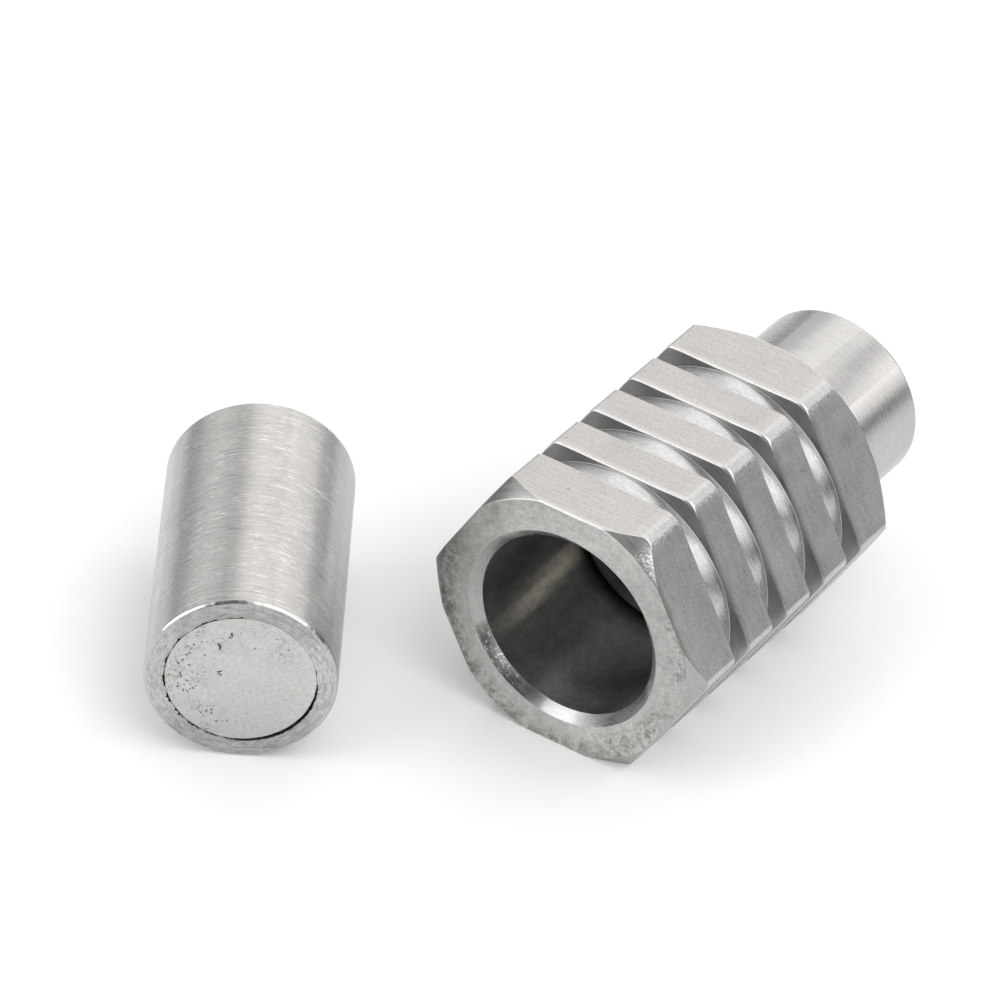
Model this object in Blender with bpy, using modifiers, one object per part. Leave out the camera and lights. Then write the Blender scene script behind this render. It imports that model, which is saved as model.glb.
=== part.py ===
"""Two-piece magnetic clasp: a hexagonal socket and a round plug, both lying on a table.

Each half is turned from bar. The socket is one machined solid: a hexagonal barrel with
corner chamfers, four turned grooves, a blind bore for the plug with a magnet at its
bottom, and a round stem with a glue-in hole for the cord. The plug is a round bar with a
magnet set flush in its front face and a glue-in hole for the other cord in its tail.

Units are metres, +Z is up. The socket lies on one flat with its bore along +Y, mouth
towards -Y. The plug lies beside it, turned about the vertical.
"""
import bpy
from math import cos, pi, radians, sin, tan

MM = 0.001

# socket: hexagonal barrel
HEX_AF = 10.0 * MM            # across flats
RIDGE_ROUND = 0.22 * MM       # radius of the eased ridges
BARREL_LEN = 12.86 * MM
FRONT_FACE_R = 5.14 * MM      # front face circle, where the corner chamfer starts
BACK_FACE_R = 5.01 * MM       # back face circle
CHAMFER = radians(45.0)       # corner chamfers, from the end face
ENVELOPE_R = 6.2 * MM         # turned envelope outside the ridges
END_RING = 2.30 * MM          # front ring, from the mouth
RING = 1.50 * MM              # each ring between two grooves
GROOVE = 0.92 * MM            # groove width
GROOVE_COUNT = 4
GROOVE_R = 4.90 * MM          # radius of the groove floors

# socket: bore, magnet seat, stem and cord hole
BORE_R = 3.565 * MM
BORE_DEPTH = 6.40 * MM
MOUTH_R = 3.92 * MM
MOUTH_DEPTH = 0.33 * MM
STEM_R = 3.415 * MM
STEM_LEN = 5.00 * MM
STEM_EASE = 0.10 * MM
CORD_R = 3.00 * MM
CORD_DEPTH = 7.00 * MM

# plug
PLUG_R = 3.41 * MM
PLUG_LEN = 11.64 * MM
PLUG_EDGE = 0.10 * MM         # eased front edge, radial
PLUG_EDGE_DEPTH = 0.09 * MM
PLUG_TAIL_EASE = 0.08 * MM

# magnets, one disc in each half
MAGNET_R = 2.64 * MM
MAGNET_LEN = 2.95 * MM
MAGNET_EASE = 0.05 * MM
SEAT_GAP = 0.06 * MM          # around the disc
SEAT_FLOOR_GAP = 0.10 * MM    # behind the disc, taken by the glue

# where the halves lie; the origin is the middle of the whole thing, on the table
SOCKET_MOUTH = (5.768 * MM, -4.250 * MM, HEX_AF / 2)
PLUG_FRONT = (-2.467 * MM, -11.849 * MM, PLUG_R)
PLUG_TURN = radians(32.14)    # about +Z, from the socket's direction

STEPS = 72                    # facets around every turned surface
MERGE = 1e-7


def new_collection(name):
    coll = bpy.data.collections.new(name)
    bpy.context.scene.collection.children.link(coll)
    return coll


def metal(name, colour, roughness):
    mat = bpy.data.materials.new(name)
    mat.use_nodes = True
    bsdf = mat.node_tree.nodes["Principled BSDF"]
    bsdf.inputs["Base Color"].default_value = (*colour, 1.0)
    bsdf.inputs["Metallic"].default_value = 1.0
    bsdf.inputs["Roughness"].default_value = roughness
    return mat


def empty_at(name, location, rotation, coll):
    obj = bpy.data.objects.new(name, None)
    obj.empty_display_size = 0.004
    obj.location = location
    obj.rotation_euler = rotation
    coll.objects.link(obj)
    return obj


def turned(name, profile, coll, parent, material=None):
    """Turn an open (radius, z) profile about its own Z, running down the outer side."""
    mesh = bpy.data.meshes.new(name)
    verts = [(r, 0.0, z) for r, z in profile]
    edges = [(i, i + 1) for i in range(len(verts) - 1)]
    mesh.from_pydata(verts, edges, [])
    obj = bpy.data.objects.new(name, mesh)
    coll.objects.link(obj)
    obj.parent = parent
    screw = obj.modifiers.new("Turn", "SCREW")
    screw.axis = "Z"
    screw.angle = 2 * pi
    screw.steps = STEPS
    screw.render_steps = STEPS
    screw.use_merge_vertices = True
    screw.merge_threshold = MERGE
    screw.use_smooth_shade = True
    if material is not None:
        mesh.materials.append(material)
    return obj


def ring_edges():
    """(z at the front, z at the back) of each ring, from the mouth."""
    edges = []
    z = 0.0
    for i in range(GROOVE_COUNT + 1):
        if i == 0:
            length = END_RING
        elif i == GROOVE_COUNT:
            length = BARREL_LEN - z
        else:
            length = RING
        edges.append((z, z + length))
        z += length + GROOVE
    return edges


def socket_profile():
    """From the cord hole's floor, out over the stem and barrel, to the magnet's seat."""
    end = BARREL_LEN + STEM_LEN
    cord_floor = end - CORD_DEPTH
    points = [(0.0, cord_floor), (CORD_R, cord_floor), (CORD_R, end),
              (STEM_R - STEM_EASE, end), (STEM_R, end - STEM_EASE), (STEM_R, BARREL_LEN)]
    rings = ring_edges()
    for i, (front, back) in reversed(list(enumerate(rings))):
        if i == GROOVE_COUNT:
            run = (ENVELOPE_R - BACK_FACE_R) * tan(CHAMFER)
            points += [(BACK_FACE_R, back), (ENVELOPE_R, back - run)]
        else:
            points += [(GROOVE_R, back), (ENVELOPE_R, back)]
        if i == 0:
            run = (ENVELOPE_R - FRONT_FACE_R) * tan(CHAMFER)
            points += [(ENVELOPE_R, front + run), (FRONT_FACE_R, front)]
        else:
            points += [(ENVELOPE_R, front), (GROOVE_R, front)]
    seat = MAGNET_R + SEAT_GAP
    seat_floor = BORE_DEPTH + MAGNET_LEN + SEAT_FLOOR_GAP
    points += [(MOUTH_R, 0.0), (BORE_R, MOUTH_DEPTH), (BORE_R, BORE_DEPTH),
               (seat, BORE_DEPTH), (seat, seat_floor), (0.0, seat_floor)]
    return points


def plug_profile():
    """From the cord hole's floor, out over the tail and side, to the magnet's seat."""
    cord_floor = PLUG_LEN - CORD_DEPTH
    seat = MAGNET_R + SEAT_GAP
    seat_floor = MAGNET_LEN + SEAT_FLOOR_GAP
    return [(0.0, cord_floor), (CORD_R, cord_floor), (CORD_R, PLUG_LEN),
            (PLUG_R - PLUG_TAIL_EASE, PLUG_LEN), (PLUG_R, PLUG_LEN - PLUG_TAIL_EASE),
            (PLUG_R, PLUG_EDGE_DEPTH), (PLUG_R - PLUG_EDGE, 0.0),
            (seat, 0.0), (seat, seat_floor), (0.0, seat_floor)]


def magnet_profile(front):
    back = front + MAGNET_LEN
    return [(0.0, back), (MAGNET_R - MAGNET_EASE, back), (MAGNET_R, back - MAGNET_EASE),
            (MAGNET_R, front + MAGNET_EASE), (MAGNET_R - MAGNET_EASE, front), (0.0, front)]


def hex_bar(name, coll, parent):
    """Hexagonal bar with eased ridges, longer than the socket at both ends."""
    length = BARREL_LEN + STEM_LEN + 4 * MM
    bpy.ops.mesh.primitive_cylinder_add(
        vertices=6, radius=HEX_AF / 2 / cos(pi / 6), depth=length,
        rotation=(0.0, 0.0, radians(30.0)))
    obj = bpy.context.active_object
    obj.name = name
    bpy.ops.object.transform_apply(location=False, rotation=True, scale=True)
    for old in list(obj.users_collection):
        old.objects.unlink(obj)
    coll.objects.link(obj)
    obj.parent = parent
    obj.location = (0.0, 0.0, length / 2 - 2 * MM)
    ease = obj.modifiers.new("Ridges", "BEVEL")
    ease.width = RIDGE_ROUND * tan(pi / 6)
    ease.segments = 3
    ease.limit_method = "ANGLE"
    ease.angle_limit = radians(50.0)
    obj.hide_render = True
    obj.display_type = "WIRE"
    return obj


def build():
    for obj in list(bpy.data.objects):
        bpy.data.objects.remove(obj, do_unlink=True)

    parts = new_collection("magnetic_clasp")
    cutters = new_collection("cutters")

    socket_steel = metal("socket_steel", (0.62, 0.61, 0.60), 0.32)
    plug_steel = metal("plug_steel", (0.66, 0.655, 0.645), 0.30)
    socket_nickel = metal("socket_nickel", (0.60, 0.60, 0.58), 0.35)
    plug_nickel = metal("plug_nickel", (0.60, 0.60, 0.58), 0.42)

    # the halves' own Z runs from the mating end into the metal
    socket_axis = empty_at("socket_axis", SOCKET_MOUTH, (-pi / 2, 0.0, 0.0), parts)
    plug_axis = empty_at("plug_axis", PLUG_FRONT, (-pi / 2, 0.0, PLUG_TURN), parts)

    bar = hex_bar("hex_bar", cutters, socket_axis)
    socket = turned("socket_body", socket_profile(), parts, socket_axis, socket_steel)
    cut = socket.modifiers.new("Hexagon", "BOOLEAN")
    cut.operation = "INTERSECT"
    cut.solver = "EXACT"
    cut.object = bar

    turned("socket_magnet", magnet_profile(BORE_DEPTH), parts, socket_axis, socket_nickel)
    turned("plug_body", plug_profile(), parts, plug_axis, plug_steel)
    turned("plug_magnet", magnet_profile(0.0), parts, plug_axis, plug_nickel)


build()
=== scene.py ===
"""Looks for the two-piece magnetic clasp: fine turned and milled steel, set disc magnets, a pale table.

Both halves are built again here at a finer scale than the CAD, in the same place and to the
same sizes, with eased edges, turning marks, wear and pits. Each half has its own local frame:
the origin at the middle of its front face and +Z running into the metal.
"""
from math import acos, atan, cos, hypot, pi, radians, sin, sqrt, tan

import bmesh
import bpy
from mathutils import Matrix, Vector, noise


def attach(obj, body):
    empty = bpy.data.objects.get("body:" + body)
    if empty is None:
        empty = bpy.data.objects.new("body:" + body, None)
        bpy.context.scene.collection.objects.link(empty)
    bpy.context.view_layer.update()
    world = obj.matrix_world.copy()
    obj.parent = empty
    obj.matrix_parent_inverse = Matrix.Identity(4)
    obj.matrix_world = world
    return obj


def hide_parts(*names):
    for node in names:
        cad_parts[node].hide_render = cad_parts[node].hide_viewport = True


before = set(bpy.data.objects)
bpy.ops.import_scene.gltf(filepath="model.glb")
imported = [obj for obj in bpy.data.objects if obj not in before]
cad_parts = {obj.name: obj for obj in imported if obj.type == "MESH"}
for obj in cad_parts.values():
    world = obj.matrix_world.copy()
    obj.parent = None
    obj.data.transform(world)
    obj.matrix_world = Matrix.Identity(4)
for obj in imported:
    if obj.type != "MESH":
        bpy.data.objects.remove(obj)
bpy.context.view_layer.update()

MM = 0.001

# ---------------------------------------------------------------- sizes, in millimetres
SOCKET_MOUTH = (5.768, -4.250, 5.0)
PLUG_FRONT = (-2.467, -11.849, 3.41)
PLUG_TURN = radians(32.14)

APOTHEM = 5.0
RIDGE_ROUND = 0.22
BARREL_LEN = 12.86
FRONT_FACE_R = 5.14
BACK_FACE_R = 5.01
RINGS = [(0.0, 2.30), (3.19, 4.72), (5.61, 7.14), (8.03, 9.56), (10.45, 12.86)]
GROOVE_R = 4.90
BORE_R = 3.565
BORE_DEPTH = 6.40
MOUTH_R = 3.92
MOUTH_DEPTH = 0.33
STEM_R = 3.415
STEM_END = 17.86
CORD_R = 3.00
CORD_DEPTH = 7.00
SEAT_R = 2.70
SEAT_DEPTH = 3.05
MAGNET_R = 2.64
MAGNET_LEN = 2.95
PLUG_R = 3.40
PLUG_LEN = 11.64

COLLECTION = bpy.context.scene.collection


def rot_x(a):
    return Matrix.Rotation(a, 4, "X")


SOCKET_PLACE = Matrix.Translation(Vector(SOCKET_MOUTH) * MM) @ rot_x(-pi / 2)
PLUG_PLACE = (Matrix.Translation(Vector(PLUG_FRONT) * MM)
              @ Matrix.Rotation(PLUG_TURN, 4, "Z") @ rot_x(-pi / 2))


def wobble(a, k, seed, z=0.0):
    """Smooth repeatable noise around the axis, about -1 to 1."""
    return noise.noise(Vector((cos(a) * k + seed * 7.31, sin(a) * k - seed * 3.17, z + seed)))


# ---------------------------------------------------------------- cross sections
# corners that nothing rubs, and the surface that each is finished as
UNDER = {"bore": "bore", "ledge": "ledge", "seat": "seat", "hole": "hole",
         "groove": "wall_front", "wall_back": "wall_back"}


def fillet(points):
    """Rounds a list of (r, z, radius, steps, tag); the tag names the surface after the point."""
    out = []
    n = len(points)
    for i, (r, z, rad, steps, tag) in enumerate(points):
        if rad <= 0 or i in (0, n - 1):
            out.append((r, z, tag))
            continue
        pr, pz = points[i - 1][:2]
        nr, nz = points[i + 1][:2]
        d1 = Vector((r - pr, z - pz))
        d2 = Vector((nr - r, nz - z))
        l1, l2 = d1.length, d2.length
        if l1 < 1e-6 or l2 < 1e-6:
            out.extend([(r, z, tag)] * (steps + 1))
            continue
        d1.normalize()
        d2.normalize()
        turn = acos(max(-1.0, min(1.0, d1.dot(d2))))
        cut = min(rad * tan(turn / 2), 0.42 * l1, 0.42 * l2)
        rad = cut / tan(turn / 2)
        side = 1.0 if d1.x * d2.y - d1.y * d2.x > 0 else -1.0
        start = Vector((r, z)) - d1 * cut
        centre = start + Vector((-d1.y, d1.x)) * side * rad
        for k in range(steps + 1):
            a = turn * k / steps * side
            v = start - centre
            p = centre + Vector((v.x * cos(a) - v.y * sin(a), v.x * sin(a) + v.y * cos(a)))
            out.append((p.x, p.y, tag if k == steps else UNDER.get(tag, "edge")))
    return out


# how far each of the six ridges is rounded: angle round the local axis, radius
RIDGES = [(0, 0.30), (60, 0.26), (120, 0.24), (180, 0.22), (240, 0.27), (300, 0.58)]


def ridge_reach(k):
    """Half the flat's angle up to where ridge k's rounding starts."""
    return atan((APOTHEM - RIDGES[k % 6][1]) * tan(pi / 6) / APOTHEM)


def hex_radius(a):
    """Radius of the rounded hexagon at angle a, and how near a ridge that is, 0 to 1."""
    k = round(a / (pi / 3)) % 6
    off = abs((a - k * pi / 3 + pi) % (2 * pi) - pi)
    rnd = RIDGES[k][1]
    psi = pi / 6 - off
    if psi <= ridge_reach(k):
        r = APOTHEM / cos(psi)
    else:
        d = (APOTHEM - rnd) / cos(pi / 6)
        r = d * cos(off) + sqrt(max(rnd ** 2 - (d * sin(off)) ** 2, 0.0))
    near = max(0.0, 1.0 - off / radians(5.0))
    return r, near * near * (3 - 2 * near)


def column_angles(flat_steps, ridge_steps):
    """Angles all round the hexagon, closer together over the ridges."""
    out = []
    for k in range(6):
        mid = k * pi / 3 + pi / 6
        before, after = ridge_reach(k), ridge_reach(k + 1)
        for j in range(flat_steps):
            u = sin((-1 + 2 * j / flat_steps) * pi / 2)
            out.append((mid + (before if u < 0 else after) * u, "flat"))
        for j in range(ridge_steps):
            out.append((mid + after + 2 * (pi / 6 - after) * j / ridge_steps, "ridge"))
    return out


def refine(sec, a, near):
    """Cuts the long runs of flats and front face into short steps, with slight wear and pits."""
    out = []
    for (r0, z0, t0), (r1, z1, _) in zip(sec, sec[1:]):
        out.append((r0, z0, t0))
        run = hypot(r1 - r0, z1 - z0)
        if t0 == "hex" and run > 0.6:
            n = 8 if 2.6 < (z0 + z1) / 2 < 10.2 else 14
            for k in range(1, n):
                r, z = r0 + (r1 - r0) * k / n, z0 + (z1 - z0) * k / n
                wear_and_painted_light = noise.noise(Vector((r * cos(a) * 7.0, r * sin(a) * 7.0, z * 7.0)))
                r -= near * 0.010 * max(0.0, 0.5 + wear_and_painted_light)
                dent = noise.noise(Vector((r * cos(a) * 1.9, r * sin(a) * 1.9, z * 1.9 + 9.0)))
                r -= 0.0035 * max(0.0, dent)
                out.append((r, z, t0))
        elif t0 == "front" and run > 0.6:
            n = 14
            for k in range(1, n):
                r, z = r0 + (r1 - r0) * k / n, z0 + (z1 - z0) * k / n
                x, y = r * cos(a), r * sin(a)
                pit = noise.noise(Vector((x * 5.2, y * 5.2, 1.7)))
                where = 0.5 + 0.5 * noise.noise(Vector((x * 0.9, y * 0.9, 4.4)))
                z += 0.020 * max(0.0, pit - 0.30) / 0.4 * where
                out.append((r, z, t0))
    out.append(sec[-1])
    return out


def corner_pair(r_hex, face_r, z_face, rad, front, steps):
    """The two eased corners of a 45 degree chamfer, which fades out where the flat cuts below it."""
    s = -1.0 if front else 1.0
    k = sqrt(2) - 1
    inner = (min(face_r - k * rad, r_hex - rad), rad)
    outer = (r_hex - rad, max(rad, r_hex - face_r + k * rad))
    pts = []
    for (cr, cz), a0 in ((outer, 0.0), (inner, pi / 4)):
        for j in range(steps + 1):
            a = a0 + pi / 4 * j / steps
            pts.append((cr + rad * cos(a), z_face - s * (cz - rad * sin(a))))
    if not front:
        pts.reverse()
    return pts


def socket_section(a):
    """The socket's cross section at angle a, from the cord hole's floor to the seat's floor."""
    r_hex, near = hex_radius(a)
    cord_floor = STEM_END - CORD_DEPTH
    pts = [
        (0.0, cord_floor, 0, 0, "hole"),
        (CORD_R, cord_floor, 0.10, 2, "hole"),
        (CORD_R, STEM_END, 0.07, 3, "stem_end"),
        (STEM_R, STEM_END, 0.10, 4, "stem"),
        (STEM_R, BARREL_LEN, 0.05, 2, "back"),
    ]
    for i in range(len(RINGS) - 1, -1, -1):
        front, back = RINGS[i]
        wear = 1 + 0.35 * wobble(a, 6.0, i + 1)
        wear2 = 1 + 0.35 * wobble(a, 6.0, i + 11)
        wear_and_painted_light = 1.0 if abs(a - 5 * pi / 3) < 0.3 else 0.35
        side = max(0.0, -sin(a)) ** 4
        back_ease = (0.030 + 0.070 * near * wear_and_painted_light) * wear2
        front_ease = (0.028 + 0.036 * side + 0.080 * near * wear_and_painted_light) * wear
        if i == len(RINGS) - 1:
            rad = 0.06 * wear2
            ring = corner_pair(r_hex, BACK_FACE_R, back, rad, False, 3)
            tags = ["edge"] * 3 + ["chamfer"] + ["edge"] * 3 + ["hex"]
            pts += [(r, z, 0, 0, t) for (r, z), t in zip(ring, tags)]
        else:
            pts += [(GROOVE_R, back, 0.040, 3, "wall_back"), (r_hex, back, back_ease, 4, "hex")]
        if i > 0:
            pts += [(r_hex, front, front_ease, 5, "wall_front"), (GROOVE_R, front, 0.040, 3, "groove")]
        else:
            up = max(0.0, -sin(a))
            rad = (0.030 + 0.025 * up * up + 0.03 * near * wear_and_painted_light) * wear
            ring = corner_pair(r_hex, FRONT_FACE_R, 0.0, rad, True, 4)
            tags = ["edge"] * 4 + ["chamfer"] + ["edge"] * 4 + ["front"]
            pts += [(r, z, 0, 0, t) for (r, z), t in zip(ring, tags)]
    lip = 0.018 * (1 + 0.4 * wobble(a, 9.0, 21))
    pts += [
        (MOUTH_R, 0.0, lip, 3, "mouth"),
        (BORE_R, MOUTH_DEPTH, 0.025, 3, "bore"),
        (BORE_R, BORE_DEPTH, 0.02, 2, "ledge"),
        (SEAT_R, BORE_DEPTH, 0.002, 2, "seat"),
        (SEAT_R, BORE_DEPTH + SEAT_DEPTH, 0, 0, "seat"),
        (0.0, BORE_DEPTH + SEAT_DEPTH, 0, 0, "seat"),
    ]
    return refine(fillet(pts), a, near)


# the gap round the plug's magnet by angle, from the right and turning clockwise as seen
GAP = [(0, 0.020), (8, 0.042), (20, 0.076), (45, 0.094), (70, 0.086), (88, 0.062), (98, 0.026),
       (104, 0.008), (110, 0.036), (118, 0.005), (126, 0.060), (134, 0.008), (141, 0.050),
       (150, 0.005), (158, 0.044), (166, 0.006), (174, 0.058), (184, 0.008), (192, 0.054),
       (203, 0.006), (215, 0.040), (228, 0.005), (240, 0.042), (256, 0.007), (266, 0.036),
       (275, 0.003), (284, 0.001), (300, 0.001), (344, 0.001), (350, 0.026), (354, 0.004),
       (360, 0.016)]


def table_at(table, x):
    for (x0, y0), (x1, y1) in zip(table, table[1:]):
        if x <= x1:
            return y0 + (y1 - y0) * (x - x0) / (x1 - x0)
    return table[-1][1]


def magnet_edge(a):
    return 2.652 + 0.007 * wobble(a, 9.0, 31) + 0.005 * wobble(a, 26.0, 32)


def seat_edge(a):
    deg = (a * 180 / pi) % 360
    gap = table_at(GAP, deg)
    rough = 1.6 * wobble(a, 34.0, 33) + 1.1 * wobble(a, 80.0, 34)
    gap *= 1 + (1.5 if gap < 0.048 else 0.30) * rough
    return magnet_edge(a) + max(gap, 0.0010)


def crack_ease(a, most):
    """How far the two lips of the crack are broken away, more where the crack is open."""
    gap = table_at(GAP, (a * 180 / pi) % 360)
    return min(most, 0.0035 + 0.55 * max(0.0, gap - 0.004) * (1 + 0.8 * wobble(a, 24.0, 51)))


def plug_section(a):
    """The plug's cross section at angle a, from the cord hole's floor to the magnet's seat."""
    floor = PLUG_LEN - CORD_DEPTH
    ease = 1 + 0.25 * wobble(a, 5.0, 41) + 0.12 * wobble(a, 22.0, 42)
    seat = seat_edge(a)
    burr = crack_ease(a, 0.02)
    pts = [
        (0.0, floor, 0, 0, "hole"),
        (CORD_R, floor, 0.10, 2, "hole"),
        (CORD_R, PLUG_LEN, 0.06, 3, "tail"),
        (PLUG_R, PLUG_LEN, 0.09, 4, "side"),
        (PLUG_R, 0.098 * ease, 0.07, 4, "rim"),
        (PLUG_R - 0.088 * ease, 0.0, 0.05, 4, "face"),
        (3.10, 0.0, 0, 0, "face"),
        (2.88, 0.0, 0, 0, "face"),
        (seat + 0.001, 0.0, burr, 2, "seat"),
        (seat, 0.35, 0, 0, "seat"),
        (SEAT_R, 0.50, 0, 0, "seat"),
        (SEAT_R, SEAT_DEPTH, 0, 0, "seat"),
        (0.0, SEAT_DEPTH, 0, 0, "seat"),
    ]
    return fillet(pts)


# ---------------------------------------------------------------- meshes
def sweep(name, columns, section, materials, tag_material, place, split=()):
    """Sweeps a section that changes with the angle round the Z axis, one column of faces at a time."""
    bm = bmesh.new()
    rows = []
    for a, kind in columns:
        sec = section(a)
        rows.append([bm.verts.new((r * cos(a) * MM, r * sin(a) * MM, z * MM)) for r, z, _ in sec])
        tags = [t for _, _, t in sec]
    n = len(rows)
    order = {m.name: i for i, m in enumerate(materials)}
    for i in range(n):
        j = (i + 1) % n
        kind = columns[i][1]
        for k in range(len(tags) - 1):
            quad = (rows[i][k], rows[j][k], rows[j][k + 1], rows[i][k + 1])
            face = bm.faces.new(quad)
            tag = tags[k]
            if tag == "hex" and kind == "ridge":
                tag = "ridge"
            face.material_index = order[tag_material[tag].name]
            face.smooth = True
    bmesh.ops.remove_doubles(bm, verts=bm.verts, dist=2e-8)
    bmesh.ops.dissolve_degenerate(bm, edges=bm.edges, dist=1e-9)
    bmesh.ops.recalc_face_normals(bm, faces=bm.faces)
    for e in bm.edges:
        if len(e.link_faces) == 2:
            e.smooth = e.calc_face_angle() < radians(38)
    mesh = bpy.data.meshes.new(name)
    bm.to_mesh(mesh)
    bm.free()
    return finish_piece(name, mesh, materials, place)


def finish_piece(name, mesh, materials, place):
    for m in materials:
        mesh.materials.append(m)
    mesh.transform(place)
    obj = bpy.data.objects.new(name, mesh)
    COLLECTION.objects.link(obj)
    even = obj.modifiers.new("EvenNormals", "WEIGHTED_NORMAL")
    even.mode = "FACE_AREA"
    even.weight = 50
    even.keep_sharp = True
    return obj


# pits in the plug's magnet: right and down from its middle as seen, size, depth, stretch, turn
PITS = [
    (-0.76, -1.34, 0.044, 0.060, 2.3, 1.4), (-0.81, -1.46, 0.028, 0.050, 1.6, 0.5),
    (-0.74, -0.26, 0.030, 0.060, 2.6, -0.5), (-0.74, -0.14, 0.030, 0.060, 2.6, 0.5),
    (-0.42, -1.77, 0.018, 0.035, 2.4, 0.2), (-0.38, -1.90, 0.024, 0.045, 5.2, 1.45),
    (-0.24, -1.98, 0.018, 0.030, 1.4, 0.3), (-0.07, -2.04, 0.016, 0.030, 1.3, 0.0),
    (-0.46, -1.83, 0.016, 0.025, 1.2, 0.6), (-1.90, -0.90, 0.024, 0.035, 2.4, 0.9),
    (-2.03, -0.66, 0.022, 0.035, 2.0, -0.5), (-2.20, -0.52, 0.026, 0.040, 1.8, 0.2),
    (-1.81, -0.46, 0.022, 0.035, 2.8, 0.1), (-2.11, -0.08, 0.028, 0.040, 1.6, 0.7),
    (-2.07, 0.05, 0.024, 0.035, 2.2, 1.3), (-1.85, 0.25, 0.030, 0.045, 1.7, 0.3),
    (-2.16, 0.37, 0.020, 0.030, 1.5, 0.9), (-2.15, 0.50, 0.024, 0.035, 2.2, 0.2),
    (-1.97, 0.66, 0.026, 0.040, 1.6, -0.4), (-1.83, 0.70, 0.024, 0.035, 2.4, 0.8),
    (-1.73, 0.60, 0.020, 0.030, 1.8, 0.1), (-1.63, 0.54, 0.022, 0.035, 2.2, 1.0),
    (-1.53, 0.45, 0.018, 0.030, 1.5, 0.3), (-1.98, -0.31, 0.018, 0.030, 2.2, 0.4),
    (-1.69, -0.16, 0.016, 0.025, 2.2, 1.2), (-1.90, -0.05, 0.018, 0.030, 1.8, -0.7),
    (-1.68, 0.11, 0.018, 0.030, 1.5, 0.5), (-1.95, 0.40, 0.018, 0.030, 2.6, 1.4),
    (-1.74, 0.38, 0.016, 0.025, 2.0, -0.2), (-1.34, 1.59, 0.022, 0.035, 2.4, 0.5),
    (-1.13, 1.52, 0.026, 0.040, 1.8, -0.6), (-0.96, 1.42, 0.024, 0.035, 2.4, 1.1),
    (-0.90, 1.28, 0.018, 0.030, 1.6, 0.2), (-0.96, 1.60, 0.026, 0.040, 1.6, 0.3),
    (-0.77, 1.93, 0.024, 0.035, 1.9, 0.5), (-0.53, 1.91, 0.022, 0.035, 1.6, -0.2),
    (-0.39, 1.90, 0.018, 0.030, 1.9, 0.9), (-0.08, 1.87, 0.022, 0.035, 1.4, 0.1),
    (-1.07, 1.30, 0.016, 0.025, 2.6, 0.9), (-1.23, 1.71, 0.018, 0.030, 1.6, 0.4),
    (-1.48, 1.47, 0.016, 0.025, 2.2, 0.6), (-1.68, -1.36, 0.022, 0.035, 2.0, 0.3),
    (-1.41, -1.52, 0.018, 0.030, 1.7, 0.8), (-1.23, -1.53, 0.016, 0.025, 1.5, 0.0),
    (-1.83, -0.99, 0.020, 0.030, 1.9, 0.4), (-1.28, -0.95, 0.018, 0.030, 1.4, 0.9),
    (-1.53, -1.20, 0.016, 0.025, 1.9, 0.2), (-1.95, -1.20, 0.016, 0.025, 1.6, 0.6),
    (-1.06, -1.64, 0.014, 0.020, 1.4, 0.2), (1.19, -1.84, 0.018, 0.022, 2.2, 0.9),
    (1.37, -1.63, 0.018, 0.022, 2.6, 0.4), (1.47, -1.73, 0.016, 0.020, 2.2, 1.2),
    (1.62, -1.43, 0.018, 0.022, 2.0, 0.3), (1.36, -1.19, 0.016, 0.020, 2.4, 0.7),
    (1.60, -1.25, 0.018, 0.022, 2.2, 1.3), (1.80, -1.45, 0.014, 0.020, 1.5, 0.0),
    (1.54, -0.89, 0.014, 0.020, 1.6, 0.5), (0.44, -1.37, 0.020, 0.030, 1.4, 0.2),
    (-1.77, 1.36, 0.018, 0.030, 1.5, 0.7), (1.62, 0.79, 0.016, 0.022, 1.4, 0.2),
    (0.26, 1.49, 0.018, 0.030, 1.4, 0.1), (0.63, 2.08, 0.018, 0.030, 1.5, 0.3),
    (0.72, -0.55, 0.012, 0.015, 1.4, 0.0), (0.11, 0.48, 0.012, 0.015, 1.4, 0.5),
    (2.06, -0.32, 0.014, 0.018, 1.4, 0.3),
]


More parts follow.
